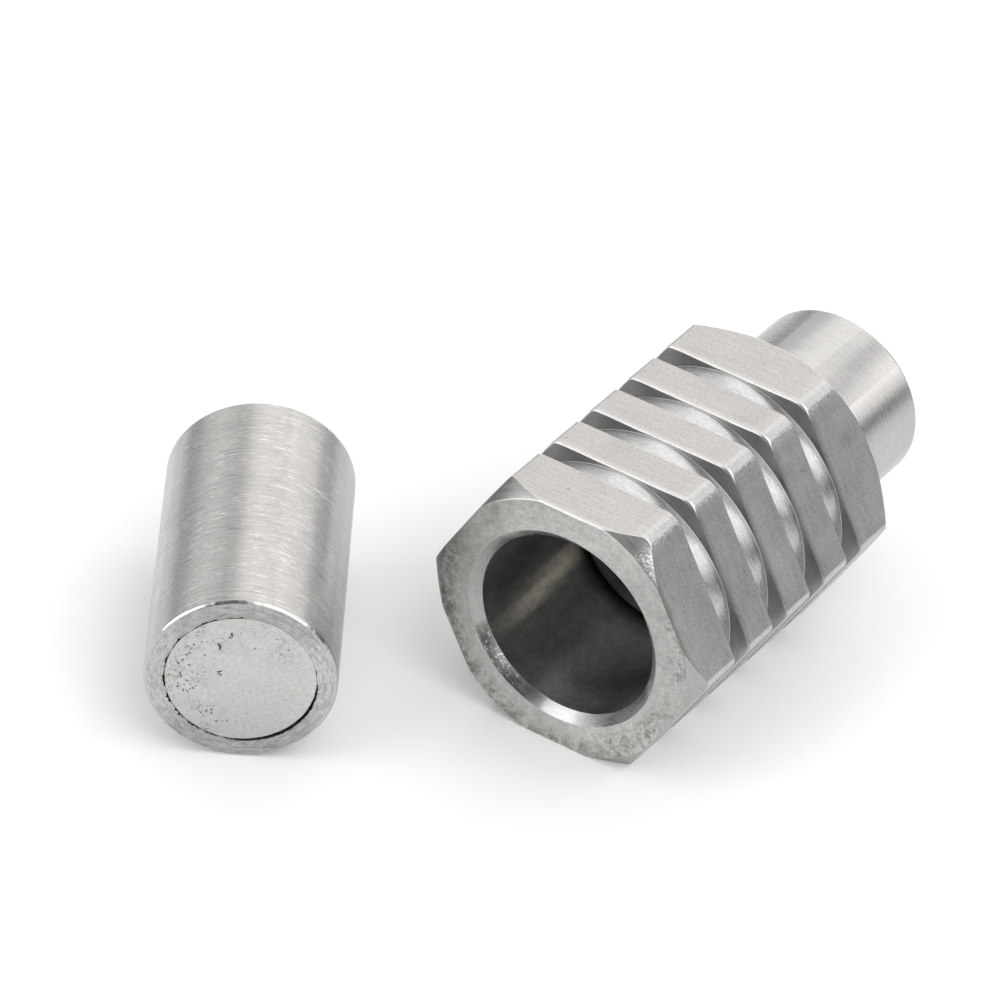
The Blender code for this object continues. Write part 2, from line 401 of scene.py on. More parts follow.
def magnet_mesh(name, edge_at, length, top, materials, place, pits, steps, rings, rough, ease=0.05):
    """A disc magnet with an eased edge, its face at z = top, and small pits sunk into the face."""
    bm = bmesh.new()
    radii = [(k + 0.0) / rings for k in range(1, rings + 1)]
    centre = bm.verts.new((0, 0, top * MM))
    rows = []
    angles = [2 * pi * i / steps for i in range(steps)]

    def depth(x, y):
        d = 0.0
        for px, py, size, deep, stretch, turn in pits:
            dx, dy = x - px, y - py
            if abs(dx) > 4 * size or abs(dy) > 4 * size:
                continue
            u = (dx * cos(turn) + dy * sin(turn)) / (size * stretch)
            v = (-dx * sin(turn) + dy * cos(turn)) / size
            q = u * u + v * v
            q *= max(0.25, 1 + 2.2 * noise.noise(Vector((x * 24, y * 24, 3.0))))
            if q < 1:
                d = max(d, deep * (1 - q) ** 0.6)
        return d

    sunk = set()

    for a in angles:
        edge = edge_at(a)
        chip = crack_ease(a, ease)
        col = []
        for u in radii:
            r = (edge - chip) * u
            x, y = r * cos(a), r * sin(a)
            d = depth(x, y)
            grain = rough * noise.noise(Vector((x * 1.1, y * 1.1, 5.0)))
            vert = bm.verts.new((x * MM, y * MM, (top + d + grain) * MM))
            if d > 0.011:
                sunk.add(vert)
            col.append(vert)
        for k in range(1, 4):
            t = pi / 2 * k / 3
            r = edge - chip + chip * sin(t)
            col.append(bm.verts.new((r * cos(a) * MM, r * sin(a) * MM, (top + chip * (1 - cos(t))) * MM)))
        back_edge = min(edge, MAGNET_R)
        col.append(bm.verts.new((back_edge * cos(a) * MM, back_edge * sin(a) * MM, (top + 0.4) * MM)))
        col.append(bm.verts.new((MAGNET_R * cos(a) * MM, MAGNET_R * sin(a) * MM, (top + length) * MM)))
        rows.append(col)
    back = bm.verts.new((0, 0, (top + length) * MM))
    for i in range(steps):
        j = (i + 1) % steps
        bm.faces.new((centre, rows[j][0], rows[i][0]))
        for k in range(len(rows[i]) - 1):
            bm.faces.new((rows[i][k], rows[j][k], rows[j][k + 1], rows[i][k + 1]))
        bm.faces.new((back, rows[i][-1], rows[j][-1]))
    for f in bm.faces:
        f.smooth = True
        if len(materials) > 1 and sum(v in sunk for v in f.verts) >= 2:
            f.material_index = 1
    bmesh.ops.recalc_face_normals(bm, faces=bm.faces)
    for e in bm.edges:
        if len(e.link_faces) == 2:
            e.smooth = e.calc_face_angle() < radians(50)
    mesh = bpy.data.meshes.new(name)
    bm.to_mesh(mesh)
    bm.free()
    return finish_piece(name, mesh, materials, place)


# ---------------------------------------------------------------- materials
class Graph:
    """A small helper that adds and links shader nodes."""

    def __init__(self, tree):
        self.tree = tree

    def put(self, socket, value):
        if isinstance(value, bpy.types.NodeSocket):
            self.tree.links.new(value, socket)
        else:
            socket.default_value = value

    def vec(self, op, a, b=None):
        n = self.tree.nodes.new("ShaderNodeVectorMath")
        n.operation = op
        self.put(n.inputs[0], a)
        if b is not None:
            self.put(n.inputs[1], b)
        return n.outputs["Value"] if op in ("LENGTH", "DOT_PRODUCT", "DISTANCE") else n.outputs["Vector"]

    def math(self, op, a, b=0.0, clamp=False):
        n = self.tree.nodes.new("ShaderNodeMath")
        n.operation = op
        n.use_clamp = clamp
        self.put(n.inputs[0], a)
        if op not in ("ABSOLUTE", "SQRT", "SINE", "COSINE", "ARCSINE"):
            self.put(n.inputs[1], b)
        return n.outputs[0]

    def split(self, v):
        n = self.tree.nodes.new("ShaderNodeSeparateXYZ")
        self.put(n.inputs[0], v)
        return n.outputs[0], n.outputs[1], n.outputs[2]

    def join(self, x, y, z):
        n = self.tree.nodes.new("ShaderNodeCombineXYZ")
        for s, v in zip(n.inputs, (x, y, z)):
            self.put(s, v)
        return n.outputs[0]

    def noise(self, v, scale=1.0, detail=3.0, rough=0.55, distortion=0.0):
        n = self.tree.nodes.new("ShaderNodeTexNoise")
        self.put(n.inputs["Vector"], v)
        n.inputs["Scale"].default_value = scale
        n.inputs["Detail"].default_value = detail
        n.inputs["Roughness"].default_value = rough
        n.inputs["Distortion"].default_value = distortion
        return n.outputs[0]

    def cells(self, v, scale=1.0, feature="F1", randomness=1.0):
        n = self.tree.nodes.new("ShaderNodeTexVoronoi")
        n.feature = feature
        self.put(n.inputs["Vector"], v)
        n.inputs["Scale"].default_value = scale
        n.inputs["Randomness"].default_value = randomness
        return n.outputs["Distance"]

    def range(self, x, lo, hi, to_lo=0.0, to_hi=1.0, smooth=True):
        n = self.tree.nodes.new("ShaderNodeMapRange")
        n.interpolation_type = "SMOOTHSTEP" if smooth else "LINEAR"
        for s, v in zip(n.inputs[:5], (x, lo, hi, to_lo, to_hi)):
            self.put(s, v)
        return n.outputs[0]

    def mix(self, f, a, b):
        n = self.tree.nodes.new("ShaderNodeMix")
        n.data_type = "RGBA"
        self.put(n.inputs["Factor"], f)
        self.put(n.inputs[6], a)
        self.put(n.inputs[7], b)
        return n.outputs[2]

    def tint(self, colour, f):
        """A colour times a number."""
        n = self.tree.nodes.new("ShaderNodeMix")
        n.data_type = "RGBA"
        n.blend_type = "MULTIPLY"
        n.inputs["Factor"].default_value = 1.0
        self.put(n.inputs[6], colour)
        grey = self.tree.nodes.new("ShaderNodeCombineColor")
        for s in grey.inputs:
            self.put(s, f)
        self.tree.links.new(grey.outputs[0], n.inputs[7])
        return n.outputs[2]

    def bump(self, height, strength, distance, below=None):
        n = self.tree.nodes.new("ShaderNodeBump")
        n.inputs["Strength"].default_value = strength
        n.inputs["Distance"].default_value = distance * MM
        self.put(n.inputs["Height"], height)
        if below is not None:
            self.put(n.inputs["Normal"], below)
        return n.outputs[0]


class Nodes(Graph):
    """A material's nodes. self.mm is the half's own frame in millimetres."""

    def __init__(self, name, place=Matrix.Identity(4)):
        self.mat = bpy.data.materials.new(name)
        self.mat.use_nodes = True
        super().__init__(self.mat.node_tree)
        self.bsdf = self.tree.nodes["Principled BSDF"]
        coord = self.tree.nodes.new("ShaderNodeTexCoord")
        local = self.tree.nodes.new("ShaderNodeMapping")
        local.vector_type = "TEXTURE"
        self.tree.links.new(coord.outputs["Object"], local.inputs["Vector"])
        local.inputs["Location"].default_value = place.to_translation()
        local.inputs["Rotation"].default_value = place.to_euler()
        local.inputs["Scale"].default_value = (MM, MM, MM)
        self.mm = local.outputs[0]

    def along(self, s_round, s_axis):
        """Pattern space drawn out round the axis."""
        return self.vec("MULTIPLY", self.mm, (s_round, s_round, s_axis))

    def rings(self, s_round, s_radial):
        """Pattern space drawn out in circles on a face across the axis."""
        flat = self.vec("MULTIPLY", self.mm, (1.0, 1.0, 0.0))
        r = self.vec("LENGTH", flat)
        x, y, _ = self.split(flat)
        return self.join(self.math("MULTIPLY", x, s_round), self.math("MULTIPLY", y, s_round),
                         self.math("MULTIPLY", r, s_radial))


def grey(v, warm=0.0, green=0.0):
    return (v * (1 + 0.5 * warm), v * (1 + green), v * (1 - warm), 1.0)


def steel(name, place, value, warm=0.02, rough=0.3, space=None, streak=0.05, hair=0.03, fine=0.05,
          blotch=0.05, rough_vary=0.05, bump=0.25, fine_bump=0.1, finish=None, green=0.0):
    """Steel with marks drawn out one way, a speckled grain and slow blotches.

    space gives the two pattern spaces for the marks: round the axis, or in rings on a face."""
    n = Nodes(name, place)
    long_space, hair_space = (space or around(0.8, 9.0, 1.7, 28.0))(n)
    marks = n.noise(long_space, 1.0, 3.0, 0.6)
    hairs = n.noise(hair_space, 1.0, 2.0, 0.6)
    speck = n.noise(n.mm, 12.0, 3.0, 0.65)
    slow = n.noise(n.mm, 0.55, 3.0, 0.5)
    tone = n.math("ADD", n.range(marks, 0.3, 0.7, 1 - streak, 1 + streak, False),
                  n.range(hairs, 0.3, 0.7, -hair, hair, False))
    tone = n.math("ADD", tone, n.range(speck, 0.3, 0.7, -fine, fine, False))
    tone = n.math("ADD", tone, n.range(slow, 0.35, 0.65, -blotch, blotch, False))
    roughness = n.math("ADD", n.range(hairs, 0.3, 0.7, rough - rough_vary, rough + rough_vary, False),
                       n.range(slow, 0.35, 0.65, -0.5 * rough_vary, 0.5 * rough_vary, False))
    normal = n.bump(speck, fine_bump, 0.01)
    normal = n.bump(hairs, bump, 0.01, normal)
    n.parts = {"marks": marks, "hairs": hairs, "speck": speck, "slow": slow, "tone": tone,
               "tint": grey(value, warm, green), "rough": roughness, "normal": normal}
    if finish is not None:
        finish(n)
    n.put(n.bsdf.inputs["Base Color"], n.tint(n.parts["tint"], n.parts["tone"]))
    n.put(n.bsdf.inputs["Roughness"], n.parts["rough"])
    n.put(n.bsdf.inputs["Normal"], n.parts["normal"])
    n.bsdf.inputs["Metallic"].default_value = 1.0
    return n.mat


def around(s_round, s_axis, h_round, h_axis):
    """Marks that run round the axis, as a lathe or a polishing belt leaves them."""
    return lambda n: (n.along(s_round, s_axis), n.along(h_round, h_axis))


def circles(s_round, s_radial, h_round, h_radial):
    """Marks that run in circles on a face across the axis."""
    return lambda n: (n.rings(s_round, s_radial), n.rings(h_round, h_radial))


def even(scale):
    """Marks with no direction."""
    k = scale * 2.6
    return lambda n: (n.vec("MULTIPLY", n.mm, (scale,) * 3), n.vec("MULTIPLY", n.mm, (k,) * 3))


def toward(n, deg, lo, hi):
    """1 on the side of the axis that lies at this angle (0 right, 90 up, as seen), fading out."""
    x, y, _ = n.split(n.mm)
    r = n.math("MAXIMUM", n.vec("LENGTH", n.vec("MULTIPLY", n.mm, (1.0, 1.0, 0.0))), 0.01)
    c, s = cos(radians(deg)), -sin(radians(deg))
    d = n.math("DIVIDE", n.math("ADD", n.math("MULTIPLY", x, c), n.math("MULTIPLY", y, s)), r)
    return n.range(d, cos(radians(hi)), cos(radians(lo)))


def radius(n):
    return n.vec("LENGTH", n.vec("MULTIPLY", n.mm, (1.0, 1.0, 0.0)))


def scale_tone(n, factor):
    n.parts["tone"] = n.math("MULTIPLY", n.parts["tone"], factor)


def stain(n, mask, colour):
    n.parts["tint"] = n.mix(mask, n.parts["tint"], colour)


def flat_finish(n):
    """Belt-ground flats: small dark flecks; the flat that faces up painted lighter and warmer, painted light and shade
    beside the upper ridge and along the rings' front edges.
    """
    _, y, _ = n.split(n.mm)
    # the flat that faces up: painted lighter and warmer
    up = n.range(n.math("MULTIPLY", y, -1.0), 4.2, 4.9)
    v = 1.09 * FLAT_VALUE
    stain(n, up, (v * 1.037, v, v * 0.966, 1.0))
    fleck = n.range(n.noise(n.vec("ADD", n.mm, (3.0, 8.0, 1.0)), 4.5, 3.0, 0.6), 0.69, 0.74, 1.0, 0.62)
    scale_tone(n, fleck)
    near = n.vec("LENGTH", n.vec("SUBTRACT", n.mm, FLAT_STAIN))
    patch = n.math("MULTIPLY", n.range(near, 0.55, 0.15), n.range(n.parts["speck"], 0.46, 0.58))
    stain(n, n.math("MULTIPLY", patch, 0.5), grey(0.16, 0.10))
    # a speckled painted highlight beside the ridge between the upper flats, painted shade on its right flat side and
    # painted light on its top flat side
    wear_and_painted_light = n.noise(n.vec("MULTIPLY", n.mm, (9.0, 9.0, 12.0)), 1.0, 3.0, 0.7)
    reach = n.math("MULTIPLY", toward(n, 59, 1.2, 5.0), 0.24)
    scale_tone(n, n.math("ADD", 1.0, n.math("MULTIPLY", n.range(n.math("ADD", wear_and_painted_light, reach), 0.62, 0.86), 0.16)))
    scale_tone(n, n.range(toward(n, 54.5, 1.5, 4.5), 0.0, 1.0, 1.0, 0.94))
    scale_tone(n, n.range(toward(n, 62.5, 0.8, 5.0), 0.0, 1.0, 1.0, 1.06))
    # a painted highlight glowing along each ring's front edge on the top flat, and painted shade beside the edges on
    # the right flat
    _, _, z = n.split(n.mm)
    later = n.range(z, 2.90, 2.95, 0.0, 1.0, False)
    behind = n.math("MODULO", n.math("MAXIMUM", n.math("SUBTRACT", z, 3.19 - 2.42), 0.0), 2.42)
    behind = n.math("ADD", n.math("MULTIPLY", later, behind),
                    n.math("MULTIPLY", n.math("SUBTRACT", 1.0, later), z))
    edge_glow = n.math("POWER", n.range(behind, 0.0, 0.34, 1.0, 0.0, False), 2.0)
    scale_tone(n, n.math("ADD", 1.0, n.math("MULTIPLY", n.math("MULTIPLY", edge_glow, up), 0.40)))
    right = n.math("MULTIPLY", edge_glow, toward(n, 30, 24, 29))
    scale_tone(n, n.math("SUBTRACT", 1.0, n.math("MULTIPLY", right, 0.36)))


def ridge_finish(n):
    """Filed ridges, speckled where the polish broke through, with speckled painted shade on the ridge between the upper
    flats.
    """
    spots = n.noise(n.mm, 9.0, 3.0, 0.75)
    scale_tone(n, n.range(spots, 0.36, 0.66, 0.94, 1.07))
    # painted shade, speckled, on the ridge between the upper flats, on its right flat side
    wear_and_painted_light = n.math("MULTIPLY", toward(n, 56.2, 0.2, 3.0), n.range(spots, 0.70, 0.36))
    scale_tone(n, n.math("SUBTRACT", 1.0, n.math("MULTIPLY", wear_and_painted_light, 0.55)))
    scale_tone(n, n.range(toward(n, 58.6, 0.4, 1.6), 0.0, 1.0, 1.0, 0.84))


def chamfer_finish(n):
    """Corner chamfers: painted shade at the left, painted light at the upper left, speckled painted highlights at the
    upper right.
    """
    # painted shade at the left, painted light at the upper left
    scale_tone(n, n.range(toward(n, 180, 8, 26), 0.0, 1.0, 1.0, 0.23))
    scale_tone(n, n.range(toward(n, 120, 5, 14), 0.0, 1.0, 1.0, 1.22))
    # speckled painted highlights and glints towards the upper right
    spots = n.noise(n.mm, 11.0, 3.0, 0.75)
    lit = n.math("MULTIPLY", toward(n, 51, 3, 12), n.range(spots, 0.40, 0.62, 0.25, 1.0))
    scale_tone(n, n.math("ADD", 0.92, n.math("MULTIPLY", lit, 0.40)))
    spark = n.math("MULTIPLY", toward(n, 53.5, 1.5, 7.0), n.range(spots, 0.47, 0.60))
    scale_tone(n, n.math("ADD", 1.0, n.math("MULTIPLY", spark, 0.95)))


def edge_finish(n):
    """Broken edges: a painted highlight where they face up, painted shade elsewhere and most at the upper right."""
    # painted highlight on the upper edges, painted shade on the others
    scale_tone(n, n.range(toward(n, 92, 22, 44), 0.0, 1.0, 0.76, 1.32))
    scale_tone(n, n.range(toward(n, 30, 22, 30), 0.0, 1.0, 1.0, 0.60))


def groove_finish(n):
    """Turned grooves: fine rings, with bright dashes where the tool lifted, and painted shade at the upper left."""
    dash = n.noise(n.along(3.5, 26.0), 1.0, 2.0, 0.6)
    scale_tone(n, n.range(dash, 0.36, 0.64, 0.88, 1.12))
    # painted shade at the upper left
    scale_tone(n, n.range(toward(n, 114, 10, 28), 0.0, 1.0, 1.0, 0.85))


def front_finish(n):
    """The turned front face: darker towards the left, painted light and shade by angle, painted glints, brown stains
    and pits towards the rim.
    """
    x, y, _ = n.split(n.mm)
    r = radius(n)
    # darker towards the left
    left_darkening = n.range(n.math("ADD", x, n.math("MULTIPLY", n.parts["slow"], 1.2)), -4.4, 1.0, 0.86, 1.0)
    scale_tone(n, left_darkening)
    # painted shade at the right and upper right, painted light at the upper left and lower right
    scale_tone(n, n.range(toward(n, 10, 25, 85), 0.0, 1.0, 1.0, 0.88))
    scale_tone(n, n.range(toward(n, 30, 8, 36), 0.0, 1.0, 1.0, 0.93))
    scale_tone(n, n.range(toward(n, 126, 12, 38), 0.0, 1.0, 1.0, 1.12))
    scale_tone(n, n.range(toward(n, 300, 8, 30), 0.0, 1.0, 1.0, 1.10))
    glint = n.noise(n.vec("ADD", n.mm, (6.0, 1.0, 3.0)), 15.0, 2.0, 0.7)
    scale_tone(n, n.math("ADD", 1.0, n.math("MULTIPLY", n.range(glint, 0.60, 0.72), 0.40)))
    mottle = n.noise(n.vec("ADD", n.mm, (0.0, 3.0, 2.0)), 4.2, 4.0, 0.75)
    scale_tone(n, n.range(mottle, 0.34, 0.66, 0.86, 1.14, False))
    rim = n.range(r, 4.15, 4.95)
    side = n.math("MAXIMUM", toward(n, 207, 10, 70), n.math("MULTIPLY", toward(n, 290, 20, 70), 0.75))
    side = n.math("MAXIMUM", side, n.math("MULTIPLY", toward(n, 125, 10, 50), 0.3))
    patch = n.noise(n.vec("ADD", n.mm, (0.0, 0.0, 5.0)), 2.3, 4.0, 0.68)
    fine = n.noise(n.mm, 6.5, 4.0, 0.7)
    brown = n.math("MULTIPLY", n.math("MULTIPLY", rim, side), n.range(patch, 0.38, 0.62))
    stain(n, n.math("MULTIPLY", brown, 0.75), grey(0.20, 0.12))
    corner = n.math("MULTIPLY", toward(n, -42, 8, 34), n.range(r, 3.95, 4.5))
    corner = n.math("MAXIMUM", corner, n.math("MULTIPLY", toward(n, 14, 4, 26), n.range(r, 4.3, 4.8)))
    corner = n.math("MAXIMUM", corner, n.math("MULTIPLY", n.math("MULTIPLY", rim, side), 0.9))
    pits = n.math("MULTIPLY", corner, n.range(n.math("ADD", n.math("MULTIPLY", fine, 0.6), n.math("MULTIPLY", patch, 0.4)), 0.47, 0.60))
    stain(n, n.math("MULTIPLY", pits, 0.62), grey(0.15, 0.12))
    stain(n, n.math("MULTIPLY", n.range(fine, 0.64, 0.72), 0.5), grey(0.16, 0.12))
    n.parts["normal"] = n.bump(fine, 0.35, 0.012, n.parts["normal"])


def mouth_finish(n):
    """The mouth's chamfer: nicks in the polish at the lower left with painted shade and painted glints on them, and
    painted light and shade by angle all round.
    """
    spots = n.noise(n.mm, 8.5, 3.0, 0.75)
    where = toward(n, 226, 6, 24)
    nick_glint = n.math("MULTIPLY", where, n.range(spots, 0.56, 0.64))
    # painted shade at the lower left, with painted glints on the nicks
    scale_tone(n, n.math("ADD", n.range(where, 0.0, 1.0, 1.0, 0.85), n.math("MULTIPLY", nick_glint, 2.6)))
    # painted highlights at the right, upper left and lower right, painted shade at the left
    scale_tone(n, n.range(toward(n, 6, 12, 30), 0.0, 1.0, 1.0, 3.4))
    scale_tone(n, n.range(toward(n, 117, 8, 22), 0.0, 1.0, 1.0, 2.2))
    scale_tone(n, n.range(toward(n, 172, 18, 32), 0.0, 1.0, 1.0, 0.92))
    scale_tone(n, n.range(toward(n, 308, 8, 20), 0.0, 1.0, 1.0, 1.16))
    # painted shade in two narrow bands at the lower left, a painted highlight at the bottom
    painted_dull_shade = n.math("MAXIMUM", toward(n, 211, 3, 10), toward(n, 254, 3, 9))
    scale_tone(n, n.range(painted_dull_shade, 0.0, 1.0, 1.0, 0.70))
    scale_tone(n, n.range(toward(n, 271, 7, 13), 0.0, 1.0, 1.0, 1.22))
    n.parts["normal"] = n.bump(n.math("MULTIPLY", where, spots), 0.5, 0.01, n.parts["normal"])


def bore_finish(n):
    """The bore: a painted warm highlight streak along its lower left, painted light at the right and near the mouth at
    the bottom, painted shade at the lower left and towards its floor.
    """
    _, _, z = n.split(n.mm)
    mottle = n.noise(n.vec("MULTIPLY", n.mm, (3.2, 3.2, 2.4)), 1.0, 4.0, 0.7)
    scale_tone(n, n.range(mottle, 0.3, 0.7, 0.88, 1.12))
    # painted light at the right, painted shade at the lower left
    scale_tone(n, n.range(toward(n, 28, 60, 98), 0.0, 1.0, 0.94, 1.6))
    scale_tone(n, n.range(toward(n, 212, 26, 46), 0.0, 1.0, 1.0, 0.64))
    scale_tone(n, n.range(toward(n, 226, 4, 14), 0.0, 1.0, 1.0, 0.84))
    # painted light near the mouth at the bottom
    painted_light_low = n.math("MULTIPLY", toward(n, 272, 6, 24), n.range(z, 2.4, 0.6))
    scale_tone(n, n.math("ADD", 1.0, n.math("MULTIPLY", painted_light_low, 0.9)))
    later = n.range(z, 1.5, 5.8)
    # a painted warm highlight streak along the lower left
    painted_streak = n.math("ADD", n.math("MULTIPLY", toward(n, 211.5, 1, 7.5), n.math("SUBTRACT", 1.0, later)),
                  n.math("MULTIPLY", toward(n, 206, 1, 9), later))
    painted_streak = n.math("MULTIPLY", painted_streak, n.range(z, 6.4, 5.8))
    painted_streak = n.math("MULTIPLY", painted_streak, n.range(z, 0.2, 3.4, 0.14, 1.0))
    painted_streak = n.math("MULTIPLY", painted_streak, n.range(mottle, 0.3, 0.6, 0.70, 1.0), clamp=True)
    stain(n, painted_streak, (1.0, 0.94, 0.82, 1.0))
    n.parts["tone"] = n.math("ADD", n.parts["tone"],
                             n.math("MULTIPLY", painted_streak, n.math("SUBTRACT", 1.0, n.parts["tone"])))
    # painted shade deep in the bore, towards its floor
    scale_tone(n, n.range(z, 5.55, 6.36, 1.0, 0.12))


def ledge_finish(n):
    """The bore's floor round the magnet: painted shade, darker next to the magnet and nearly black in its outer corner.
    """
    scale_tone(n, n.range(radius(n), 2.74, 3.40, 0.60, 1.5))
    scale_tone(n, n.range(radius(n), 3.44, 3.54, 1.0, 0.05))


def stem_finish(n):
    """The stem: painted shade at its upper left, a painted highlight at its upper right."""
    scale_tone(n, n.range(toward(n, 116, 10, 27), 0.0, 1.0, 1.0, 0.84))
    scale_tone(n, n.range(toward(n, 52, 4, 14), 0.0, 1.0, 1.0, 1.10))


def scratches(n, at, s_round, s_axis, lo, hi):
    """Sparse marks, each only a part of the way round."""
    a = n.noise(n.vec("ADD", n.along(s_round, s_axis), at), 1.0, 1.0, 0.5)
    gate = n.range(n.noise(n.vec("ADD", n.mm, at), 0.9, 2.0, 0.5), 0.42, 0.60)
    return n.math("MULTIPLY", n.range(a, lo, hi), gate)


def plug_side_finish(n):
    """Turned side: bright and dark scratches round it, and a few long ones."""
    bright = scratches(n, (2.0, 1.0, 4.0), 0.75, 17.0, 0.62, 0.70)
    dark = scratches(n, (7.0, 3.0, 9.0), 0.70, 19.0, 0.63, 0.71)
    short = scratches(n, (1.0, 9.0, 2.0), 2.4, 27.0, 0.58, 0.70)
    scale_tone(n, n.math("ADD", 0.98, n.math("MULTIPLY", n.math("MAXIMUM", bright, short), 0.52)))
    scale_tone(n, n.math("SUBTRACT", 1.0, n.math("MULTIPLY", dark, 0.24)))
    # painted shade at the upper left, the upper right and the right, a painted highlight near the top
    for deg, lo, hi, factor in ((145, 4, 13, 0.86), (34, 5, 12, 0.90), (3, 6, 16, 0.90), (62, 6, 13, 1.10)):
        scale_tone(n, n.range(toward(n, deg, lo, hi), 0.0, 1.0, 1.0, factor))
    n.parts["normal"] = n.bump(n.math("ADD", bright, dark), 0.5, 0.006, n.parts["normal"])


def annulus_finish(n):
    """The plug's face round the magnet: broken turning arcs, painted light at the left and right, dark grime and pits.
    """
    arcs = n.noise(n.rings(2.2, 16.0), 1.0, 3.0, 0.7)
    scale_tone(n, n.range(arcs, 0.40, 0.66, 1.12, 0.76))
    # painted light at the left and right
    painted_flank_light = n.math("MAXIMUM", toward(n, 0, 14, 50), toward(n, 180, 14, 50))
    scale_tone(n, n.range(painted_flank_light, 0.0, 1.0, 0.94, 1.15))
    grime = n.noise(n.vec("ADD", n.mm, (0.0, 5.0, 1.0)), 5.0, 4.0, 0.75)
    scale_tone(n, n.range(grime, 0.34, 0.66, 0.84, 1.14, False))
    pits = n.range(n.noise(n.vec("ADD", n.mm, (1.0, 6.0, 0.0)), 5.5, 2.0, 0.6), 0.66, 0.72)
    stain(n, n.math("MULTIPLY", pits, 0.6), grey(0.12, 0.08))


def magnet_finish(n):
    """Nickel plate: a matt grain and small dark specks to the left and the top."""
    _, y, _ = n.split(n.mm)
    grain = n.noise(n.mm, 7.0, 4.0, 0.7)
    scale_tone(n, n.range(grain, 0.35, 0.65, 0.92, 1.06))
    scale_tone(n, n.range(y, 0.2, 2.6, 1.0, 0.90))
    spots = n.noise(n.vec("ADD", n.mm, (4.0, 4.0, 0.0)), 6.0, 2.0, 0.6)
    side = n.math("MAXIMUM", toward(n, 165, 10, 80), n.math("MULTIPLY", toward(n, 60, 10, 60), 0.6))
    side = n.math("MULTIPLY", side, n.range(radius(n), 0.6, 1.8))
    stain(n, n.math("MULTIPLY", n.math("MULTIPLY", side, n.range(spots, 0.63, 0.70)), 0.35), grey(0.14, 0.06))
    line = n.math("ABSOLUTE", n.math("SUBTRACT", n.noise(n.vec("ADD", n.mm, (2.0, 7.0, 1.0)), 5.5, 3.0, 0.7), 0.5))
    crack = n.math("MULTIPLY", n.range(line, 0.060, 0.022), n.range(grain, 0.46, 0.53))
    crack = n.math("MULTIPLY", crack, n.range(n.noise(n.vec("ADD", n.mm, (9.0, 2.0, 5.0)), 1.5, 2.0, 0.5), 0.40, 0.56))
    side = n.math("MAXIMUM", side, n.math("MULTIPLY", toward(n, 234, 6, 24), n.range(radius(n), 1.3, 1.7)))
    stain(n, n.math("MULTIPLY", n.math("MULTIPLY", side, crack), 0.85), grey(0.16, 0.06))


SOC, PLG = SOCKET_PLACE, PLUG_PLACE
FLAT_VALUE = 0.40
FLAT_STAIN = (3.93, -3.19, 11.75)
ringed = circles(0.5, 6.0, 1.2, 24.0)
flat_steel = steel("flat_steel", SOC, FLAT_VALUE, rough=0.34, streak=0.08, fine=0.17, fine_bump=0.24,
                   finish=flat_finish)
ridge_steel = steel("ridge_steel", SOC, 0.52, rough=0.36, fine=0.08, fine_bump=0.4, finish=ridge_finish)
# the broken edges are set lighter than the flats: a painted highlight
edge_steel = steel("edge_steel", SOC, 0.55, rough=0.36, fine=0.10, finish=edge_finish)
groove_steel = steel("groove_steel", SOC, 0.52, rough=0.26, streak=0.06, hair=0.06, fine=0.05,
                     bump=0.5, fine_bump=0.15, finish=groove_finish)
wall_steel = steel("wall_steel", SOC, 0.42, rough=0.36, space=ringed)
chamfer_steel = steel("chamfer_steel", SOC, 0.42, rough=0.36, space=ringed, fine=0.10, finish=chamfer_finish)
front_steel = steel("front_steel", SOC, 0.525, warm=0.03, rough=0.42, space=ringed, streak=0.05, fine=0.12,
                    blotch=0.05, finish=front_finish)
mouth_steel = steel("mouth_steel", SOC, 0.40, rough=0.29, finish=mouth_finish)
bore_steel = steel("bore_steel", SOC, 0.53, warm=0.02, rough=0.36, streak=0.02, hair=0.02, fine=0.09,
                   blotch=0.08, bump=0.06, finish=bore_finish)
# the bore's floor is set dark: painted shade at the bottom of the bore
ledge_steel = steel("ledge_steel", SOC, 0.16, warm=0.04, rough=0.45, finish=ledge_finish)
stem_steel = steel("stem_steel", SOC, 0.475, warm=0.035, green=-0.008, rough=0.26, fine=0.04, bump=0.40, fine_bump=0.08,
                   finish=stem_finish)
hole_steel = steel("hole_steel", SOC, 0.36, rough=0.40)
plug_side_steel = steel("plug_side_steel", PLG, 0.458, warm=0.040, green=-0.009, rough=0.26, streak=0.07, hair=0.08, blotch=0.03, bump=0.7,
                        finish=plug_side_finish)
plug_face_steel = steel("plug_face_steel", PLG, 0.435, rough=0.42, space=ringed, finish=annulus_finish)
plug_rim_steel = steel("plug_rim_steel", PLG, 0.50, rough=0.24)
plug_tail_steel = steel("plug_tail_steel", PLG, 0.44, rough=0.36, space=ringed)
plug_hole_steel = steel("plug_hole_steel", PLG, 0.36, rough=0.40)
# the seats are set nearly black: painted shade in the gaps round the magnets
plug_seat_steel = steel("plug_seat_steel", PLG, 0.10, rough=0.60)
seat_steel = steel("seat_steel", SOC, 0.04, rough=0.60)
nickel = steel("magnet_nickel", PLG, 0.585, warm=0.025, rough=0.42, space=even(5.0), streak=0.02,
               hair=0.02, fine=0.05, blotch=0.03, finish=magnet_finish)
pit_nickel = steel("pit_nickel", PLG, 0.20, warm=0.06, rough=0.6, space=even(5.0))
# the socket's magnet is a darker copy of the plug's nickel: painted shade at the bottom of the bore
shaded_bore_nickel = steel("bore_magnet_shaded_nickel", SOC, 0.34, rough=0.50, space=even(5.0), green=0.01)

